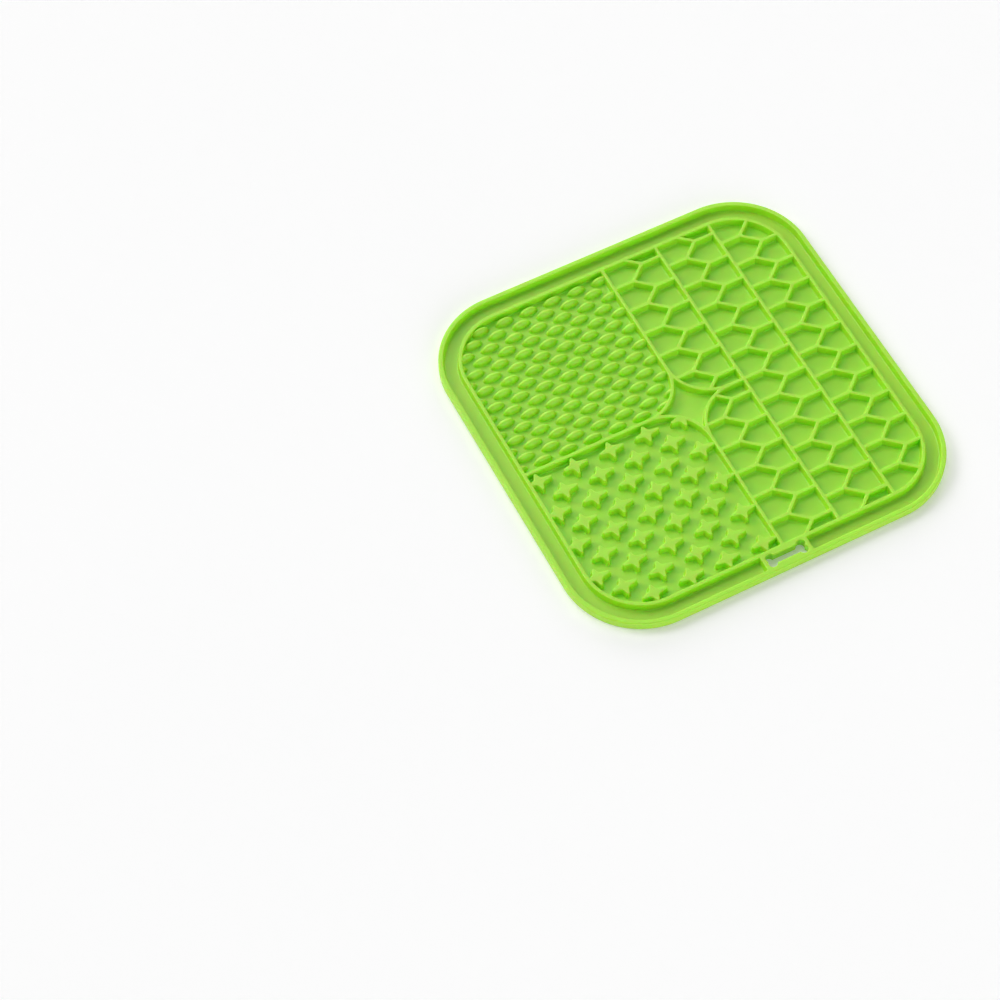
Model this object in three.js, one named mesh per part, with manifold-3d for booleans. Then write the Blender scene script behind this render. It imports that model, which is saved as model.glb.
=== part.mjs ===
// A square moulded silicone lick mat, lying flat with its relief upwards.
// Millimetres, +Z up. The origin is the middle of the underside, and the hanging hole is on the -Y side.

import * as THREE from 'three';
import { mergeVertices } from 'three/addons/utils/BufferGeometryUtils.js';
import Module from 'manifold-3d';

const wasm = await Module();
wasm.setup();

// Outer size, base sheet and rounded corners
const MAT_SIDE = 200;
const MAT_HEIGHT = 5.2;
const FLOOR = 1.2;
const CORNER_RADIUS = 39.4;
const CORNER_STEPS = 5;

// Widths of the walls across their tops, and how far a face leans out from its top to the floor
const LIP_WIDTH = 2.4;
const MOAT_WIDTH = 7.5;
const FRAME_WIDTH = 1.75;
const WALL_WIDTH = 1.6;
const DRAFT = 0.3;

// Zigzag cells in the right half
const COLUMNS = 3;
const COLUMN_WIDTH = 30.2;
const CELL_PITCH = 15.1;
const ZIGZAG_SWING = 4.3;
const CELL_ROWS = 6;

// Arcs around the plain star in the middle
const ARC_RADIUS = 22.2;
const ARC_STEPS = 5;

// Oval domes in the far left quarter
const OVAL_LENGTH = 9.9;
const OVAL_WIDTH = 4.2;
const OVAL_HEIGHT = 3.7;
const OVAL_PITCH = { x: 13.33, y: 5.32 };
const OVAL_FIRST = { x: -9.75, y: 5.1 };
const OVAL_ROWS = 16;
const OVAL_SIDES = 8;
const OVAL_STEPS = 3;

// Star studs in the near left quarter: the reach of each arm, how far right the up and down arms stand,
// how far the side arms droop, and how far their faces lean out
const STUD_REACH = { right: 7.1, up: 4.2, left: 5.6, down: 4.9 };
const STUD_SPINE = 0.25;
const STUD_DROOP = { right: 0.1, left: 0.4 };
const STUD_WAIST = { x: 1.65, y: 1.35 };
const STUD_TIP = 0.5;
const STUD_DRAFT = 0.45;
const STUD_PITCH = { x: 19.25, y: 9.71 };
const STUD_FIRST = { x: -7.8, y: -5.8 };
const STUD_SHIFT = 10.6;
const STUD_ROWS = 9;

// Strip from the frame to the rim that holds the bone-shaped hanging hole
const STRIP_LENGTH = 24.8;
const STRIP_X = -0.7;
const BONE_REACH = 8.25;
const BONE_LOBE_RADIUS = 2.2;
const BONE_LOBE_SPREAD = 1.45;
const BONE_SHAFT = 4.4;
const BONE_STEPS = 4;
const STRIP_GAP = 0.3;

// Points nearer than this are one point
const SAME_POINT = 1e-4;

// How far a cutter passes the face that it cuts, and a dome or stud reaches into what it stands on
const PAST = 1;
const ROOT = 0.4;

const half = MAT_SIDE / 2;
const moatOuter = half - LIP_WIDTH;
const moatInner = moatOuter - MOAT_WIDTH;
const frameInner = moatInner - FRAME_WIDTH;
const relief = MAT_HEIGHT - FLOOR;
const leanAt = (z, draft = DRAFT) => (draft * (MAT_HEIGHT - z)) / relief;

// Solids

function solidOf(geometry) {
  geometry.deleteAttribute('normal');
  geometry.deleteAttribute('uv');
  const merged = mergeVertices(geometry, SAME_POINT);
  const vertProperties = new Float32Array(merged.attributes.position.array);
  const triVerts = new Uint32Array(merged.index.array);
  return new wasm.Manifold(new wasm.Mesh({ numProp: 3, vertProperties, triVerts }));
}

function geometryOf(solid) {
  const mesh = solid.getMesh();
  const geometry = new THREE.BufferGeometry();
  geometry.setAttribute('position', new THREE.BufferAttribute(new Float32Array(mesh.vertProperties), 3));
  geometry.setIndex(new THREE.BufferAttribute(new Uint32Array(mesh.triVerts), 1));
  geometry.computeVertexNormals();
  return geometry;
}

// A prism from z = low to z = high whose outline, a function of how far its faces lean, changes on the way
function drafted(outline, low, high, leanLow = leanAt(low), leanHigh = leanAt(high)) {
  const lower = outline(leanLow);
  const upper = outline(leanHigh);
  const shape = new THREE.Shape(upper);
  const geometry = new THREE.ExtrudeGeometry(shape, { depth: high - low, bevelEnabled: false });
  const position = geometry.attributes.position;
  for (let i = 0; i < position.count; i++) {
    if (position.getZ(i) > 0) continue;
    const corner = new THREE.Vector2(position.getX(i), position.getY(i));
    const at = upper.findIndex((p) => p.distanceTo(corner) < SAME_POINT);
    position.setXY(i, lower[at].x, lower[at].y);
  }
  geometry.translate(0, 0, low);
  return solidOf(geometry);
}

const pocket = (outline) => drafted(outline, FLOOR, MAT_HEIGHT + PAST);
const upright = (outline, low, high) => drafted(outline, low, high, 0, 0);
const joined = (solids) => solids.reduce((sum, solid) => sum.add(solid));

// Outlines, counter-clockwise

function arcPoints(x, y, radius, from, to, steps) {
  const curve = new THREE.EllipseCurve(x, y, radius, radius, from, to, to < from);
  return curve.getPoints(steps);
}

// The mat's rounded square at a distance from its middle: its corner arcs share their centres
function squareOutline(reach) {
  const centre = half - CORNER_RADIUS;
  const points = [];
  for (let quarter = 0; quarter < 4; quarter++) {
    const turn = (quarter * Math.PI) / 2;
    const corner = arcPoints(centre, centre, reach - centre, 0, Math.PI / 2, CORNER_STEPS * 2);
    points.push(...corner.map((p) => p.rotateAround(new THREE.Vector2(), turn)));
  }
  return points;
}

// The pocket of one quarter: its faces on the dividers, the frame and the arc round the middle
function quarterOutline(signX, signY, lean) {
  const face = WALL_WIDTH / 2 + lean;
  const reach = frameInner - lean;
  const centre = half - CORNER_RADIUS;
  const radius = ARC_RADIUS - face;
  const middleArc = arcPoints(ARC_RADIUS, ARC_RADIUS, radius, Math.PI, 1.5 * Math.PI, ARC_STEPS * 2);
  const frameArc = arcPoints(centre, centre, reach - centre, 0, Math.PI / 2, CORNER_STEPS * 2);
  const corners = [new THREE.Vector2(reach, face), ...frameArc, new THREE.Vector2(face, reach)];
  const points = [...middleArc, ...corners].map((p) => new THREE.Vector2(p.x * signX, p.y * signY));
  return signX * signY > 0 ? points : points.reverse();
}

// The four-pointed pocket in the middle, between the outsides of the four arcs
function middleOutline(lean) {
  const radius = ARC_RADIUS + WALL_WIDTH / 2 + lean;
  const tip = Math.acos(ARC_RADIUS / radius);
  const points = [];
  for (let quarter = 0; quarter < 4; quarter++) {
    const turn = (quarter * Math.PI) / 2;
    const arc = arcPoints(ARC_RADIUS, ARC_RADIUS, radius, 1.5 * Math.PI - tip, Math.PI + tip, ARC_STEPS * 2);
    points.push(...arc.slice(0, -1).map((p) => p.rotateAround(new THREE.Vector2(), turn)));
  }
  return points;
}

// Moves each side of a loop inwards by a distance and joins the moved sides again
function insetLoop(loop, distance) {
  return loop.map((corner, i) => {
    const before = loop[(i + loop.length - 1) % loop.length];
    const after = loop[(i + 1) % loop.length];
    const inward = (a, b) => new THREE.Vector2(a.y - b.y, b.x - a.x).normalize();
    const first = inward(before, corner);
    const second = inward(corner, after);
    const bisector = first.clone().add(second);
    return corner.clone().addScaledVector(bisector, distance / (1 + first.dot(second)));
  });
}

// A cell between two stubs and a point of the zigzag, on one side of a column
function cellOutline(column, row, side, lean) {
  const middle = (column + 0.5) * COLUMN_WIDTH;
  const wall = middle - (side * COLUMN_WIDTH) / 2;
  const y = (row + (side > 0 ? 0 : 0.5)) * CELL_PITCH;
  const loop = [
    new THREE.Vector2(wall, y),
    new THREE.Vector2(middle - side * ZIGZAG_SWING, y),
    new THREE.Vector2(middle + side * ZIGZAG_SWING, y + CELL_PITCH / 2),
    new THREE.Vector2(middle - side * ZIGZAG_SWING, y + CELL_PITCH),
    new THREE.Vector2(wall, y + CELL_PITCH),
  ];
  return insetLoop(side > 0 ? loop : loop.reverse(), WALL_WIDTH / 2 + lean);
}

// A four-pointed stud with blunt tips and drawn-in sides
function studOutline(x, y, lean) {
  const { right, up, left, down } = STUD_REACH;
  const tip = STUD_TIP + lean / 2;
  const waistX = STUD_WAIST.x + lean;
  const waistY = STUD_WAIST.y + lean;
  return [
    [right + lean, -tip - STUD_DROOP.right], [right + lean, tip - STUD_DROOP.right],
    [STUD_SPINE + waistX, waistY],
    [STUD_SPINE + tip, up + lean], [STUD_SPINE - tip, up + lean],
    [STUD_SPINE - waistX, waistY],
    [-left - lean, tip - STUD_DROOP.left], [-left - lean, -tip - STUD_DROOP.left],
    [STUD_SPINE - waistX, -waistY],
    [STUD_SPINE - tip, -down - lean], [STUD_SPINE + tip, -down - lean],
    [STUD_SPINE + waistX, -waistY],
  ].map(([dx, dy]) => new THREE.Vector2(x + dx, y + dy));
}

// A dog bone: two lobes at each end of a straight shaft
function boneOutline(x, y) {
  const shaftAngle = Math.asin((BONE_SHAFT / 2 - BONE_LOBE_SPREAD) / BONE_LOBE_RADIUS);
  const meetAngle = Math.asin(BONE_LOBE_SPREAD / BONE_LOBE_RADIUS);
  const lobe = (sideX, sideY, from, to) => {
    const lobeX = x + sideX * BONE_REACH;
    return arcPoints(lobeX, y + sideY * BONE_LOBE_SPREAD, BONE_LOBE_RADIUS, from, to, BONE_STEPS * 2);
  };
  return [
    ...lobe(1, -1, shaftAngle - Math.PI, meetAngle),
    ...lobe(1, 1, -meetAngle, Math.PI - shaftAngle).slice(1),
    ...lobe(-1, 1, shaftAngle, Math.PI + meetAngle),
    ...lobe(-1, -1, Math.PI - meetAngle, 2 * Math.PI - shaftAngle).slice(1),
  ];
}

// Parts of the relief

function makeMoat() {
  const outer = pocket((lean) => squareOutline(moatOuter - lean));
  const inner = drafted((lean) => squareOutline(moatInner + lean), 0, MAT_HEIGHT + 2 * PAST);
  return outer.subtract(inner);
}

function makeCells() {
  const cells = [];
  for (let column = 0; column < COLUMNS; column++) {
    const columnCells = [];
    for (let row = -CELL_ROWS - 1; row < CELL_ROWS; row++) {
      for (const side of [1, -1]) columnCells.push(pocket((lean) => cellOutline(column, row, side, lean)));
    }
    const all = joined(columnCells);
    if (column > 0) {
      cells.push(all.intersect(pocket((lean) => squareOutline(frameInner - lean))));
    } else {
      cells.push(all.intersect(pocket((lean) => quarterOutline(1, 1, lean))));
      cells.push(all.intersect(pocket((lean) => quarterOutline(1, -1, lean))));
    }
  }
  return joined(cells);
}

function makeOvals() {
  const crown = arcPoints(0, 0, 1, 0, Math.PI / 2, OVAL_STEPS);
  crown.forEach((p) => p.setY(p.y * OVAL_HEIGHT));
  const points = [new THREE.Vector2(0, -ROOT), new THREE.Vector2(1, -ROOT), ...crown];
  const ovals = [];
  for (let row = 0; row < OVAL_ROWS; row++) {
    const first = OVAL_FIRST.x + (row % 2 ? OVAL_PITCH.x / 2 : 0);
    for (let x = first; x > -frameInner - OVAL_LENGTH / 2; x -= OVAL_PITCH.x) {
      const dome = new THREE.LatheGeometry(points, OVAL_SIDES);
      dome.rotateX(Math.PI / 2);
      dome.scale(OVAL_LENGTH / 2, OVAL_WIDTH / 2, 1);
      dome.translate(x, OVAL_FIRST.y + row * OVAL_PITCH.y, FLOOR);
      ovals.push(solidOf(dome));
    }
  }
  return joined(ovals).intersect(upright(() => quarterOutline(-1, 1, -ROOT), 0, MAT_HEIGHT));
}

function makeStuds() {
  const studs = [];
  for (let row = 0; row < STUD_ROWS; row++) {
    const first = STUD_FIRST.x - (row % 2 ? STUD_SHIFT : 0);
    const y = STUD_FIRST.y - row * STUD_PITCH.y;
    for (let x = first; x > -frameInner - STUD_REACH.right; x -= STUD_PITCH.x) {
      const low = FLOOR - ROOT;
      const lean = leanAt(low, STUD_DRAFT);
      studs.push(drafted((out) => studOutline(x, y, out), low, MAT_HEIGHT, lean, 0));
    }
  }
  return joined(studs).intersect(upright(() => quarterOutline(-1, -1, -ROOT), 0, MAT_HEIGHT));
}

// Where the strip stands in the mat: its box, grown on three sides by a gap
function stripBox(gap, low, high) {
  const back = -frameInner - STRIP_GAP + gap;
  const front = -half - (gap > 0 ? PAST : 0);
  const box = new THREE.BoxGeometry(STRIP_LENGTH + 2 * gap, back - front, high - low);
  box.translate(STRIP_X, (back + front) / 2, (low + high) / 2);
  return solidOf(box);
}

function makeMat() {
  const blank = upright(() => squareOutline(half), 0, MAT_HEIGHT);
  const cuts = [
    makeMoat(),
    pocket((lean) => quarterOutline(-1, 1, lean)),
    pocket((lean) => quarterOutline(-1, -1, lean)),
    pocket(middleOutline),
    makeCells(),
  ];
  const relieved = blank.subtract(joined(cuts)).add(makeOvals()).add(makeStuds());
  return relieved.subtract(stripBox(STRIP_GAP, -PAST, MAT_HEIGHT + PAST));
}

function makeStrip() {
  const moatMiddle = (moatInner + moatOuter) / 2;
  const bone = upright(() => boneOutline(STRIP_X, -moatMiddle), -PAST, MAT_HEIGHT + PAST);
  return stripBox(0, 0, MAT_HEIGHT).subtract(bone);
}

function makeNode(name, solid) {
  const material = new THREE.MeshStandardMaterial({ color: 0x8fd43c, roughness: 0.55, metalness: 0 });
  const mesh = new THREE.Mesh(geometryOf(solid), material);
  mesh.name = name;
  return mesh;
}

const lickMat = new THREE.Group();
lickMat.add(makeNode('mat', makeMat()));
lickMat.add(makeNode('hang_strip', makeStrip()));

export default lickMat;
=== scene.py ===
"""A moulded silicone lick mat on a pale table. Sizes are in millimetres until the mat is finished."""

import math

import bmesh
import bpy
from mathutils import Matrix, Vector


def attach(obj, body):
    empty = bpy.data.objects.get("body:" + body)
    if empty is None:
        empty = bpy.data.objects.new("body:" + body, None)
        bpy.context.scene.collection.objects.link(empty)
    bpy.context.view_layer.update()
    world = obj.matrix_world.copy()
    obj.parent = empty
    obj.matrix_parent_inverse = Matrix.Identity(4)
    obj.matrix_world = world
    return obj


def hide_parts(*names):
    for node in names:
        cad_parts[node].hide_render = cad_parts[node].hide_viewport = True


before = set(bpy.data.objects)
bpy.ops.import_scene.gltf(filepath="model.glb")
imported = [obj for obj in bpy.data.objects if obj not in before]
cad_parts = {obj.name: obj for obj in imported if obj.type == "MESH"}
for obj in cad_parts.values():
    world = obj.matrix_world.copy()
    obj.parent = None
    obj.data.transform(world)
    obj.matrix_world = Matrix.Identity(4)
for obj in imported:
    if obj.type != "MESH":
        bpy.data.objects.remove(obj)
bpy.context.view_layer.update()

# Outer size, base sheet and rounded corners
SIDE = 200.0
HEIGHT = 5.2
FLOOR = 1.2
CORNER_RADIUS = 39.4
CORNER_STEPS = 24

# Rim, moat and walls: widths at the top, lean of the faces, rounded edges and fillets on the floor
LIP_WIDTH = 2.4
LIP_ROUND = 0.6
UNDERSIDE_ROUND = 0.9
MOAT_WIDTH = 7.5
FRAME_WIDTH = 1.75
WALL_WIDTH = 1.6
DRAFT = 0.3
EDGE_ROUND = 0.35
FLOOR_ROUND = 0.7
INNER_CORNER = 0.7

# Zigzag cells
COLUMNS = 3
COLUMN_WIDTH = 30.2
CELL_PITCH = 15.1
ZIGZAG_SWING = 4.3
CELL_ROWS = 13

# Arcs round the plain star in the middle
ARC_RADIUS = 22.2
ARC_STEPS = 16

# Oval domes
OVAL_LENGTH = 9.8
OVAL_WIDTH = 4.0
OVAL_HEIGHT = 3.7
OVAL_PITCH = (-13.33, 5.32)
OVAL_FIRST = (-9.75, 5.1)
OVAL_SHIFT = 6.665
OVAL_ROWS = 16
OVALS_ACROSS = 8
OVAL_SIDES = 24
OVAL_STEPS = 7
OVAL_STEEPEST = math.radians(80)
OVAL_FOOT = 0.45

# Star studs, with the reach of each arm from where the arms cross
STUD_RIGHT, STUD_UP, STUD_LEFT, STUD_DOWN = 7.1, 4.2, 5.6, 4.9
STUD_DROOP = (0.1, 0.4)
STUD_SPINE = 0.25
STUD_WAIST = (1.65, 1.35)
STUD_LOW_WAIST = (1.85, 1.6)
STUD_WAIST_ROUND = 2.0
STUD_TIP = 0.55
STUD_DRAFT = 0.45
STUD_PITCH = (-19.25, -9.71)
STUD_FIRST = (-7.8, -5.8)
STUD_SHIFT = -10.6
STUD_ROWS = 9
STUDS_ACROSS = 5
STUD_EDGE = 0.4
STUD_EDGE_STEPS = 3
STUD_FOOT = 0.4

# Strip with the bone-shaped hanging hole
STRIP_LENGTH = 24.8
STRIP_X = -0.7
BONE_REACH = 8.25
BONE_LOBE_RADIUS = 2.2
BONE_LOBE_SPREAD = 1.45
BONE_SHAFT = 4.4
BONE_STEPS = 14

# Where one solid cuts or joins another, their faces cross at a slope, so that no two faces only touch
CROSSING = math.radians(14)
CROSSING_RISE = 0.05
HAIR = 0.02

# How far a cutter is carried on past the mat, and how deep a trimmer and a root are sunk
PAST = 1.0
SUNK = 0.3
ROOT = 0.4

# Table: its painted glow (emission that stands in for light) under the fields, under the rim and round
# the mat, and its reach in metres. The dimmer glow under the rim is painted shade on the table seen
# through the hanging hole.
FIELD_PAINTED_GLOW = 0.24
RIM_PAINTED_SHADE_GLOW = 0.09
TABLE_PAINTED_GLOW = 0.18
TABLE_REACH = 6.0

# Camera: its place in metres, its turn in degrees, and its lens
CAMERA_PLACE = (-0.3805, -0.5744, 1.0470)
CAMERA_TURN = (31.182, 0.751, -27.087)
CAMERA_LENS = 93.32

# Soft boxes a long way off, with their spread in degrees. Each one's numbers are its azimuth in degrees,
# where 0 is +X and 90 is +Y, its elevation in degrees and its power.
SOFT_BOX_SPREAD = 30
SOFT_BOXES = {
    "key": (135, 35, 1.34),
    "overhead": (0, 88, 0.29),
    "far high": (85, 55, 0.62),
    "far low": (90, 15, 0.85),
    "far right low": (45, 15, 0.65),
    "left low": (180, 15, 0.27),
    "near right low": (310, 11, 0.44),
    "near right": (315, 35, 0.20),
    "near low": (268, 16, 0.87),
}

HALF = SIDE / 2
MOAT_OUTER = HALF - LIP_WIDTH
MOAT_INNER = MOAT_OUTER - MOAT_WIDTH
FRAME_INNER = MOAT_INNER - FRAME_WIDTH
MILLIMETRE = 0.001


def lean(height, draft=DRAFT):
    """How far a face stands out at a height, from its place at the top."""
    return draft * (HEIGHT - height) / (HEIGHT - FLOOR)


# Outlines: functions of how far they are moved inwards, counter-clockwise


def arc(x, y, radius, start, stop, steps):
    """Plain corners along an arc, as x, y and no rounding."""
    turns = [start + (stop - start) * k / steps for k in range(steps + 1)]
    return [(x + radius * math.cos(t), y + radius * math.sin(t), 0.0) for t in turns]


def rounded(corners, inset, steps=3, least=0.12):
    """The closed outline moved inwards, with its marked corners rounded."""
    points = []
    for i, (x, y, radius) in enumerate(corners):
        corner = Vector((x, y))
        before = (corner - Vector(corners[i - 1][:2])).normalized()
        after = (Vector(corners[(i + 1) % len(corners)][:2]) - corner).normalized()
        inward = Vector((-before.y, before.x))
        inward_after = Vector((-after.y, after.x))
        corner = corner + (inward + inward_after) * (inset / (1 + inward.dot(inward_after)))
        if not radius:
            points.append(corner)
            continue
        turn = math.atan2(before.x * after.y - before.y * after.x, before.dot(after))
        side = math.copysign(1, turn)
        radius = max(radius - side * inset, least)
        start = corner - before * radius * math.tan(abs(turn) / 2)
        centre = start + inward * radius * side
        for k in range(steps + 1):
            points.append(centre + Matrix.Rotation(turn * k / steps, 2) @ (start - centre))
    return points


def square_corners(reach, quarters=(0, 1, 2, 3)):
    """The corners of the mat's rounded square, as arcs at a distance from its middle."""
    centre = HALF - CORNER_RADIUS
    corners = []
    for quarter in quarters:
        turn = Matrix.Rotation(quarter * math.pi / 2, 2)
        for x, y, radius in arc(centre, centre, reach - centre, 0, math.pi / 2, CORNER_STEPS):
            corners.append((*(turn @ Vector((x, y))), radius))
    return corners


def square_outline(reach):
    """The outline of the mat's rounded square at a distance from its middle."""
    return lambda inset: rounded(square_corners(reach), inset)


def moat_outline(inset):
    """Once round the mat, from one end of the strip to the other and back along the frame."""
    right = STRIP_X + STRIP_LENGTH / 2
    left = STRIP_X - STRIP_LENGTH / 2
    around = (3, 0, 1, 2)
    corners = [(right, -MOAT_OUTER, INNER_CORNER), *square_corners(MOAT_OUTER, around)]
    corners += [(left, -MOAT_OUTER, INNER_CORNER), (left, -MOAT_INNER, INNER_CORNER)]
    corners += [*reversed(square_corners(MOAT_INNER, around)), (right, -MOAT_INNER, INNER_CORNER)]
    return rounded(corners, inset)


def quarter_outline(sign_x, sign_y):
    """The pocket of one quarter, between the dividers, the frame and the arc round the middle."""
    face = WALL_WIDTH / 2
    centre = HALF - CORNER_RADIUS
    corners = arc(ARC_RADIUS, ARC_RADIUS, ARC_RADIUS - face, math.pi, 1.5 * math.pi, ARC_STEPS)
    corners += [(FRAME_INNER, face, INNER_CORNER)]
    corners += arc(centre, centre, FRAME_INNER - centre, 0, math.pi / 2, CORNER_STEPS)
    corners += [(face, FRAME_INNER, INNER_CORNER)]
    corners = [(x * sign_x, y * sign_y, radius) for x, y, radius in corners]
    if sign_x * sign_y < 0:
        corners.reverse()
    return lambda inset: rounded(corners, inset)


def middle_outline(inset):
    """The four-pointed pocket between the outsides of the four arcs."""
    radius = ARC_RADIUS + WALL_WIDTH / 2 + inset
    tip = math.acos(ARC_RADIUS / radius)
    corners = []
    for quarter in range(4):
        turn = Matrix.Rotation(quarter * math.pi / 2, 2)
        side = arc(ARC_RADIUS, ARC_RADIUS, radius, 1.5 * math.pi - tip, math.pi + tip, ARC_STEPS)
        for k, (x, y, _) in enumerate(side[:-1]):
            corners.append((*(turn @ Vector((x, y))), 0.0 if k else INNER_CORNER / 2))
    return rounded(corners, 0)


def cell_outline(side):
    """A cell between two stubs and a point of the zigzag, on one side of a column."""
    middle = COLUMN_WIDTH / 2
    wall = middle - side * middle
    start = 0 if side > 0 else CELL_PITCH / 2
    corners = [
        (wall, start),
        (middle - side * ZIGZAG_SWING, start),
        (middle + side * ZIGZAG_SWING, start + CELL_PITCH / 2),
        (middle - side * ZIGZAG_SWING, start + CELL_PITCH),
        (wall, start + CELL_PITCH),
    ]
    if side < 0:
        corners.reverse()
    corners = [(x, y, WALL_WIDTH / 2 + INNER_CORNER) for x, y in corners]
    return lambda inset: rounded(corners, inset + WALL_WIDTH / 2)


def stud_outline(inset):
    """A four-pointed star with blunt tips and drawn-in sides."""
    waist_x, waist_y = STUD_WAIST
    low_x, low_y = STUD_LOW_WAIST
    tip_round, waist_round = STUD_TIP, STUD_WAIST_ROUND
    low_right, low_left = STUD_DROOP
    corners = [
        (STUD_RIGHT, -STUD_TIP - low_right, tip_round),
        (STUD_RIGHT, STUD_TIP - low_right, tip_round),
        (STUD_SPINE + waist_x, waist_y, waist_round),
        (STUD_SPINE + STUD_TIP, STUD_UP, tip_round),
        (STUD_SPINE - STUD_TIP, STUD_UP, tip_round),
        (STUD_SPINE - waist_x, waist_y, waist_round),
        (-STUD_LEFT, STUD_TIP - low_left, tip_round),
        (-STUD_LEFT, -STUD_TIP - low_left, tip_round),
        (STUD_SPINE - waist_x, -waist_y, waist_round),
        (STUD_SPINE - STUD_TIP, -STUD_DOWN, tip_round),
        (STUD_SPINE + STUD_TIP, -STUD_DOWN, tip_round),
        (STUD_SPINE + low_x, -low_y, waist_round),
    ]
    return rounded(corners, inset, least=0.05)


def bone_outline(inset):
    """A dog bone: two lobes at each end of a straight shaft."""
    radius = BONE_LOBE_RADIUS - inset
    shaft = math.asin((BONE_SHAFT / 2 - inset - BONE_LOBE_SPREAD) / radius)
    notch = math.asin(BONE_LOBE_SPREAD / radius)
    middle = -(MOAT_INNER + MOAT_OUTER) / 2

    def lobe(side_x, side_y, start, stop):
        x = STRIP_X + side_x * BONE_REACH
        return arc(x, middle + side_y * BONE_LOBE_SPREAD, radius, start, stop, BONE_STEPS)

    corners = lobe(1, -1, shaft - math.pi, notch)
    corners += lobe(1, 1, -notch, math.pi - shaft)[1:]
    corners += lobe(-1, 1, shaft, math.pi + notch)
    corners += lobe(-1, -1, math.pi - notch, 2 * math.pi - shaft)[1:]
    return rounded(corners, 0)


# Rings: pairs of height and inset, from the lowest up


def foot_rings(steps=4):
    """A fillet on the floor, seen from the pocket that it closes."""
    rings = []
    for k in range(steps):
        turn = math.pi / 2 * k / steps
        height = FLOOR + FLOOR_ROUND * (1 - math.cos(turn))
        rings.append((height, lean(height) + FLOOR_ROUND * (1 - math.sin(turn))))
    return rings


def wall_top_rings(steps=4):
    """The rounded edge of a wall's top, carried on past the top."""
    rings = []
    for k in range(steps + 1):
        turn = math.pi / 2 + (CROSSING - math.pi / 2) * k / steps
        height = HEIGHT - EDGE_ROUND * (1 - math.cos(turn))
        rings.append((height, lean(height) - EDGE_ROUND * (1 - math.sin(turn))))
    above = HEIGHT + CROSSING_RISE
    flare = rings[-1][1] - (above - rings[-1][0]) / math.tan(CROSSING)
    return rings + [(above, flare), (HEIGHT + PAST, flare)]


def pocket_rings():
    """All the faces of a pocket, from its floor to past the top of its walls."""
    return foot_rings() + wall_top_rings()


def bounding_rings():
    """A pocket's faces, a hair wider and carried on both ways, to trim the cells with."""
    rings = foot_rings()[1:] + wall_top_rings()
    rings.insert(0, (FLOOR - SUNK, rings[0][1] + SUNK))
    rings[-1] = (HEIGHT + 2 * PAST, rings[-1][1])
    return [(height, inset - HAIR) for height, inset in rings]


def root_rings(fillet, draft=0.0, steps=3):
    """The root and the fillet of what stands on the floor."""
    rings = []
    for k in range(steps + 1):
        turn = CROSSING + (math.pi / 2 - CROSSING) * k / steps
        height = FLOOR + fillet * (1 - math.cos(turn))
        rings.append((height, -lean(height, draft) - fillet * (1 - math.sin(turn))))
    below = FLOOR - CROSSING_RISE
    flare = rings[0][1] - (rings[0][0] - below) / math.tan(CROSSING)
    return [(FLOOR - ROOT, flare), (below, flare), *rings]


# Solids


def new_piece(name, mesh):
    """A mesh, put in the scene."""
    piece = bpy.data.objects.new(name, mesh)
    bpy.context.scene.collection.objects.link(piece)
    return piece


def piece_from_loops(name, loops, closed_tip=None):
    """A closed solid through a stack of loops with as many points each."""
    shape = bmesh.new()
    rows = [[shape.verts.new(point) for point in loop] for loop in loops]
    for low, high in zip(rows, rows[1:]):
        for i in range(len(low)):
            shape.faces.new((low[i - 1], low[i], high[i], high[i - 1]))
    shape.faces.new(list(reversed(rows[0])))
    if closed_tip is None:
        shape.faces.new(rows[-1])
    else:
        tip = shape.verts.new(closed_tip)
        for i in range(len(rows[-1])):
            shape.faces.new((rows[-1][i - 1], rows[-1][i], tip))
    mesh = bpy.data.meshes.new(name)
    shape.to_mesh(mesh)
    shape.free()
    return new_piece(name, mesh)


def stacked(name, outline, rings):
    """A closed solid of an outline, moved inwards at each height as the rings say."""
    return piece_from_loops(name, [[(p.x, p.y, z) for p in outline(inset)] for z, inset in rings])


def settle(piece):
    """Turns what the modifiers make into the piece's own mesh."""
    bpy.context.view_layer.update()
    graph = bpy.context.evaluated_depsgraph_get()
    made = bpy.data.meshes.new_from_object(piece.evaluated_get(graph), depsgraph=graph)
    piece.modifiers.clear()
    piece.data = made
    return piece


def combine(piece, tool, operation):
    """Cuts, trims or joins a piece with a tool, which is used up."""
    cut = piece.modifiers.new("cut", "BOOLEAN")
    cut.solver = "MANIFOLD"
    cut.operation = operation
    cut.object = tool
    settle(piece)
    bpy.data.objects.remove(tool)
    return piece


def stand_in_quarter(piece, first, sign_x, sign_y):
    """Moves a field of pieces to its first one's place, and trims it inside the walls of its quarter."""
    piece.data.transform(Matrix.Translation((*first, 0)))
    depth = [(FLOOR - PAST, -ROOT), (HEIGHT + PAST, -ROOT)]
    return combine(piece, stacked("quarter", quarter_outline(sign_x, sign_y), depth), "INTERSECT")


def together(name, pieces):
    """Solids that don't meet, as one piece."""
    shape = bmesh.new()
    for piece in pieces:
        shape.from_mesh(piece.data)
        bpy.data.objects.remove(piece)
    mesh = bpy.data.meshes.new(name)
    shape.to_mesh(mesh)
    shape.free()
    return new_piece(name, mesh)


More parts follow.
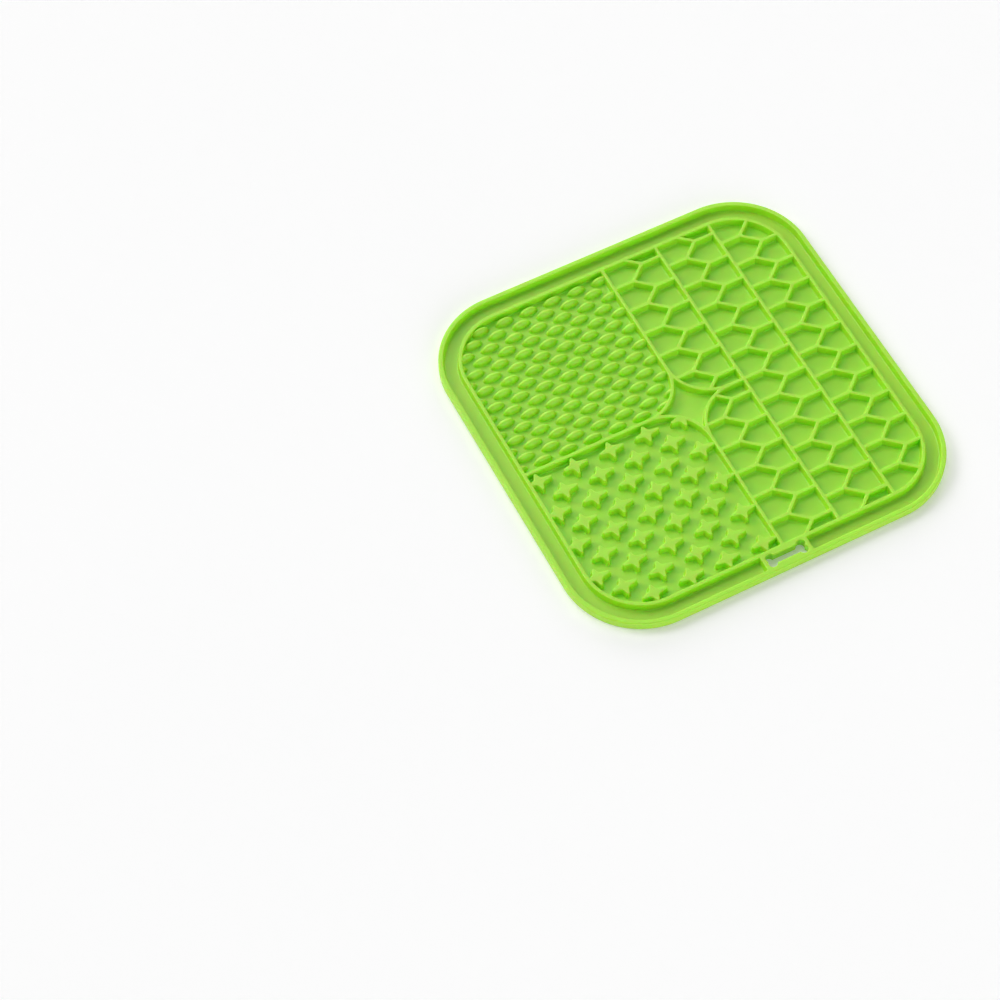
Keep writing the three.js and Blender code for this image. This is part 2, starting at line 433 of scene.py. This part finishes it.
def rows_tree():
    """Geometry Nodes that set a piece out in rows, with each second row shifted."""
    tree = bpy.data.node_groups.new("pieces in rows", "GeometryNodeTree")
    sockets = [
        ("Piece", "NodeSocketGeometry"),
        ("Across", "NodeSocketInt"),
        ("Rows", "NodeSocketInt"),
        ("Pitch across", "NodeSocketFloat"),
        ("Pitch along", "NodeSocketFloat"),
        ("Second row shift", "NodeSocketFloat"),
        ("Finish", "NodeSocketMaterial"),
    ]
    for name, kind in sockets:
        tree.interface.new_socket(name=name, in_out="INPUT", socket_type=kind)
    tree.interface.new_socket(name="Field", in_out="OUTPUT", socket_type="NodeSocketGeometry")
    given = tree.nodes.new("NodeGroupInput").outputs
    link = tree.links.new

    def math_node(operation, *values):
        node = tree.nodes.new("ShaderNodeMath")
        node.operation = operation
        for socket, value in zip(node.inputs, values):
            if isinstance(value, bpy.types.NodeSocket):
                link(value, socket)
            else:
                socket.default_value = value
        return node.outputs[0]

    index = tree.nodes.new("GeometryNodeInputIndex").outputs[0]
    column = math_node("MODULO", index, given["Across"])
    row = math_node("FLOOR", math_node("DIVIDE", math_node("ADD", index, 0.5), given["Across"]))
    shift = math_node("MULTIPLY", math_node("MODULO", row, 2.0), given["Second row shift"])
    x = math_node("ADD", math_node("MULTIPLY", column, given["Pitch across"]), shift)
    y = math_node("MULTIPLY", row, given["Pitch along"])
    place = tree.nodes.new("ShaderNodeCombineXYZ")
    link(x, place.inputs["X"])
    link(y, place.inputs["Y"])

    spots = tree.nodes.new("GeometryNodeMeshLine")
    link(math_node("MULTIPLY", given["Across"], given["Rows"]), spots.inputs["Count"])
    spots.inputs["Offset"].default_value = (0, 0, 0)
    spread = tree.nodes.new("GeometryNodeSetPosition")
    link(spots.outputs["Mesh"], spread.inputs["Geometry"])
    link(place.outputs["Vector"], spread.inputs["Position"])
    copies = tree.nodes.new("GeometryNodeInstanceOnPoints")
    link(spread.outputs["Geometry"], copies.inputs["Points"])
    link(given["Piece"], copies.inputs["Instance"])
    real = tree.nodes.new("GeometryNodeRealizeInstances")
    link(copies.outputs["Instances"], real.inputs["Geometry"])
    finish = tree.nodes.new("GeometryNodeSetMaterial")
    link(real.outputs["Geometry"], finish.inputs["Geometry"])
    link(given["Finish"], finish.inputs["Material"])
    link(finish.outputs["Geometry"], tree.nodes.new("NodeGroupOutput").inputs["Field"])
    return tree


def in_rows(piece, tree, **sizes):
    """Sets a piece out by the tree, with its named sizes, and makes the field a plain mesh."""
    field = piece.modifiers.new("rows", "NODES")
    field.node_group = tree
    for socket in tree.interface.items_tree:
        name = socket.name.lower().replace(" ", "_")
        if name in sizes:
            field[socket.identifier] = sizes[name]
    return settle(piece)


def make_cells(tree, finish):
    """Cutters for all the cells, trimmed by the arcs, the level divider and the frame."""
    first = together("cells", [stacked("cell", cell_outline(side), pocket_rings()) for side in (1, -1)])
    first.data.transform(Matrix.Translation((0, -(CELL_ROWS + 1) // 2 * CELL_PITCH, 0)))
    in_rows(
        first, tree, across=1, rows=CELL_ROWS, pitch_across=0.0, pitch_along=CELL_PITCH,
        second_row_shift=0.0, finish=finish,
    )
    others = new_piece("outer columns", first.data.copy())
    in_rows(
        others, tree, across=COLUMNS - 1, rows=1, pitch_across=COLUMN_WIDTH, pitch_along=0.0,
        second_row_shift=0.0, finish=finish,
    )
    others.data.transform(Matrix.Translation((COLUMN_WIDTH, 0, 0)))
    combine(others, stacked("frame face", square_outline(FRAME_INNER), bounding_rings()), "INTERSECT")
    near = new_piece("near cells", first.data.copy())
    combine(first, stacked("far face", quarter_outline(1, 1), bounding_rings()), "INTERSECT")
    combine(near, stacked("near face", quarter_outline(1, -1), bounding_rings()), "INTERSECT")
    return [first, near, others]


def oval_ring(height, outset=0.0, share=1.0):
    """A level ring round a dome: its share of the oval, and how far it stands out from that."""
    ring = []
    for k in range(OVAL_SIDES):
        turn = 2 * math.pi * k / OVAL_SIDES
        x = (OVAL_LENGTH / 2 * share + outset) * math.cos(turn)
        y = (OVAL_WIDTH / 2 * share + outset) * math.sin(turn)
        ring.append((x, y, height))
    return ring


def make_ovals(tree, finish):
    """Domes that stand on the floor of the far left quarter, with a soft foot."""
    loops = [oval_ring(height, outset=-inset) for height, inset in root_rings(OVAL_FOOT)]
    start = math.asin(OVAL_FOOT / OVAL_HEIGHT)
    for k in range(1, OVAL_STEPS):
        turn = start + (OVAL_STEEPEST - start) * k / OVAL_STEPS
        loops.append(oval_ring(FLOOR + OVAL_HEIGHT * math.sin(turn), share=math.cos(turn)))
    dome = piece_from_loops("oval dome", loops, closed_tip=(0, 0, FLOOR + OVAL_HEIGHT))
    across, along = OVAL_PITCH
    in_rows(
        dome, tree, across=OVALS_ACROSS, rows=OVAL_ROWS, pitch_across=across, pitch_along=along,
        second_row_shift=OVAL_SHIFT, finish=finish,
    )
    return stand_in_quarter(dome, OVAL_FIRST, -1, 1)


def make_studs(tree, finish):
    """Flat-topped stars that stand on the floor of the near left quarter, a hair lower than the walls."""
    rings = root_rings(STUD_FOOT, STUD_DRAFT)
    for k in range(STUD_EDGE_STEPS + 1):
        turn = math.pi / 2 * k / STUD_EDGE_STEPS
        height = HEIGHT - HAIR - STUD_EDGE * (1 - math.sin(turn))
        rings.append((height, STUD_EDGE * (1 - math.cos(turn)) - lean(height, STUD_DRAFT)))
    stud = stacked("star stud", stud_outline, rings)
    across, along = STUD_PITCH
    in_rows(
        stud, tree, across=STUDS_ACROSS, rows=STUD_ROWS, pitch_across=across, pitch_along=along,
        second_row_shift=STUD_SHIFT, finish=finish,
    )
    return stand_in_quarter(stud, STUD_FIRST, -1, -1)


def make_blank(steps=6):
    """The mat before its pockets, with a rounded rim."""
    turns = [math.pi / 2 * k / steps for k in range(steps + 1)]
    rings = [(UNDERSIDE_ROUND * (1 - math.cos(t)), UNDERSIDE_ROUND * (1 - math.sin(t))) for t in turns]
    rings += [(HEIGHT - LIP_ROUND * (1 - math.sin(t)), LIP_ROUND * (1 - math.cos(t))) for t in turns]
    return stacked("silicone_mat", square_outline(HALF), rings)


def make_bone():
    """The cutter of the hanging hole, with rounded edges on both faces."""
    top = [(height, inset - lean(height)) for height, inset in wall_top_rings()]
    bottom = [(HEIGHT - height, inset) for height, inset in reversed(top)]
    return stacked("bone hole", bone_outline, bottom + top)


def make_mat(finish):
    """The whole moulding, in metres, with smooth shading across its rounded edges."""
    tree = rows_tree()
    mat = make_blank()
    pockets = [
        stacked("moat", moat_outline, pocket_rings()),
        stacked("ovals' pocket", quarter_outline(-1, 1), pocket_rings()),
        stacked("studs' pocket", quarter_outline(-1, -1), pocket_rings()),
        stacked("middle pocket", middle_outline, pocket_rings()),
        make_bone(),
        *make_cells(tree, finish),
    ]
    combine(mat, together("all pockets", pockets), "DIFFERENCE")
    combine(mat, make_ovals(tree, finish), "UNION")
    combine(mat, make_studs(tree, finish), "UNION")
    mat.data.transform(Matrix.Scale(MILLIMETRE, 4))
    mat.data.materials.clear()
    mat.data.materials.append(finish)
    mat.data.shade_smooth()
    mat.data.set_sharp_from_angle(angle=math.radians(40))
    even = mat.modifiers.new("even normals", "WEIGHTED_NORMAL")
    even.keep_sharp = True
    return settle(mat)


# Finishes


def new_finish(name):
    """A material, with its nodes, its links and the place on the piece in metres."""
    finish = bpy.data.materials.new(name)
    finish.use_nodes = True
    nodes = finish.node_tree.nodes
    return finish, nodes, finish.node_tree.links, nodes.new("ShaderNodeTexCoord").outputs["Object"]


def add_noise(nodes, links, place, scale, detail):
    """The level of a noise texture at a place on the piece."""
    noise = nodes.new("ShaderNodeTexNoise")
    noise.inputs["Scale"].default_value = scale
    noise.inputs["Detail"].default_value = detail
    links.new(place, noise.inputs["Vector"])
    return noise.outputs["Fac"]


def add_ramp(nodes, links, share, marks, interpolation="LINEAR"):
    """A colour ramp. Each mark is a position and a colour."""
    ramp = nodes.new("ShaderNodeValToRGB")
    ramp.color_ramp.interpolation = interpolation
    for position, _ in marks[1:-1]:
        ramp.color_ramp.elements.new(position)
    for element, (position, colour) in zip(ramp.color_ramp.elements, marks):
        element.position = position
        element.color = (*colour, 1)
    links.new(share, ramp.inputs["Fac"])
    return ramp.outputs["Color"]


def grey(level):
    """A grey, as a colour."""
    return (level, level, level)


def silicone_finish():
    """Lime green silicone: semi-matte, a little translucent, with a fine moulded grain."""
    finish, nodes, links, place = new_finish("lime silicone")
    shader = nodes["Principled BSDF"]
    shader.inputs["Subsurface Weight"].default_value = 0.85
    shader.inputs["Subsurface Radius"].default_value = (0.7, 2.3, 0.15)
    shader.inputs["Subsurface Scale"].default_value = 0.0015
    shader.inputs["Specular IOR Level"].default_value = 1.0
    shader.inputs["IOR"].default_value = 1.52

    cloud = add_noise(nodes, links, place, scale=28, detail=3)
    greens = [(0.35, (0.428, 0.800, 0.004)), (0.65, (0.448, 0.820, 0.008))]
    links.new(add_ramp(nodes, links, cloud, greens), shader.inputs["Base Color"])

    haze = add_noise(nodes, links, place, scale=420, detail=4)
    gloss = nodes.new("ShaderNodeMapRange")
    gloss.inputs["To Min"].default_value = 0.46
    gloss.inputs["To Max"].default_value = 0.60
    links.new(haze, gloss.inputs["Value"])
    links.new(gloss.outputs["Result"], shader.inputs["Roughness"])

    grain = add_noise(nodes, links, place, scale=2600, detail=2)
    relief = nodes.new("ShaderNodeBump")
    relief.inputs["Strength"].default_value = 0.12
    relief.inputs["Distance"].default_value = 0.0001
    links.new(grain, relief.inputs["Height"])
    links.new(relief.outputs["Normal"], shader.inputs["Normal"])
    return finish


def add_reach(nodes, links, place):
    """How far out a place is from the inner square of the mat's outline: 1 at its edge all round."""
    straight = (HALF - CORNER_RADIUS) * MILLIMETRE
    reach = place
    for operation, amount in (("ABSOLUTE", 0), ("SUBTRACT", straight), ("MAXIMUM", 0), ("LENGTH", 0)):
        step = nodes.new("ShaderNodeVectorMath")
        step.operation = operation
        step.inputs[1].default_value = (amount, amount, 0)
        links.new(reach, step.inputs[0])
        reach = step.outputs["Value" if operation == "LENGTH" else "Vector"]
    share = nodes.new("ShaderNodeMath")
    share.operation = "DIVIDE"
    share.inputs[1].default_value = CORNER_RADIUS * MILLIMETRE
    links.new(reach, share.inputs[0])
    return share.outputs["Value"]


def floor_finish():
    """A pale table with painted light: it glows faintly, and least under the rim, which paints shade on
    the table seen through the hanging hole so that the hole looks deep.
    """
    finish, nodes, links, place = new_finish("pale floor")
    shader = nodes["Principled BSDF"]
    shader.inputs["Roughness"].default_value = 0.9
    shader.inputs["Specular IOR Level"].default_value = 0.1
    shader.inputs["Emission Strength"].default_value = 1.0

    # Painted light: the table glows under the fields and round the mat, and dimmest under the rim as
    # painted shade in the hanging hole.
    moat = 1 - (LIP_WIDTH + MOAT_WIDTH) / CORNER_RADIUS
    glows = [(0, grey(FIELD_PAINTED_GLOW)), (moat, grey(RIM_PAINTED_SHADE_GLOW)), (1, grey(TABLE_PAINTED_GLOW))]
    glow = add_ramp(nodes, links, add_reach(nodes, links, place), glows, "CONSTANT")
    links.new(glow, shader.inputs["Emission Color"])

    mottle = add_noise(nodes, links, place, scale=3, detail=2)
    tones = [(0, grey(0.94)), (1, grey(0.96))]
    links.new(add_ramp(nodes, links, mottle, tones), shader.inputs["Base Color"])
    return finish


# Camera, light and floor


def set_camera():
    """The camera at the photograph's viewing angle."""
    camera = bpy.data.objects.new("camera", bpy.data.cameras.new("camera"))
    bpy.context.scene.collection.objects.link(camera)
    camera.location = CAMERA_PLACE
    camera.rotation_euler = [math.radians(turn) for turn in CAMERA_TURN]
    camera.data.sensor_width = 36
    camera.data.lens = CAMERA_LENS
    camera.data.clip_start = 0.05
    camera.data.clip_end = 20
    bpy.context.scene.camera = camera


def add_soft_box(name, azimuth, elevation, power):
    """A broad, distant sun, which lights the mat as a soft box does."""
    lamp = bpy.data.lights.new(name, "SUN")
    lamp.angle = math.radians(SOFT_BOX_SPREAD)
    lamp.energy = power
    light = bpy.data.objects.new(name, lamp)
    bpy.context.scene.collection.objects.link(light)
    light.rotation_euler = (0, math.radians(90 - elevation), math.radians(azimuth))


def set_studio():
    """Soft boxes in a ring round a pale table, the strongest from the far left."""
    world = bpy.data.worlds.new("studio")
    bpy.context.scene.world = world
    world.use_nodes = True
    world.node_tree.nodes["Background"].inputs["Color"].default_value = (1, 1, 1, 1)
    world.node_tree.nodes["Background"].inputs["Strength"].default_value = 0.05
    for name, (azimuth, elevation, power) in SOFT_BOXES.items():
        add_soft_box(name, azimuth, elevation, power)
    bpy.context.scene.view_settings.view_transform = "Standard"
    floor = bmesh.new()
    bmesh.ops.create_grid(floor, x_segments=2, y_segments=2, size=TABLE_REACH)
    mesh = bpy.data.meshes.new("floor")
    floor.to_mesh(mesh)
    floor.free()
    mesh.materials.append(floor_finish())
    ground = new_piece("floor", mesh)


set_camera()
set_studio()
mat = make_mat(silicone_finish())
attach(mat, "root")
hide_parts("mat", "hang_strip")
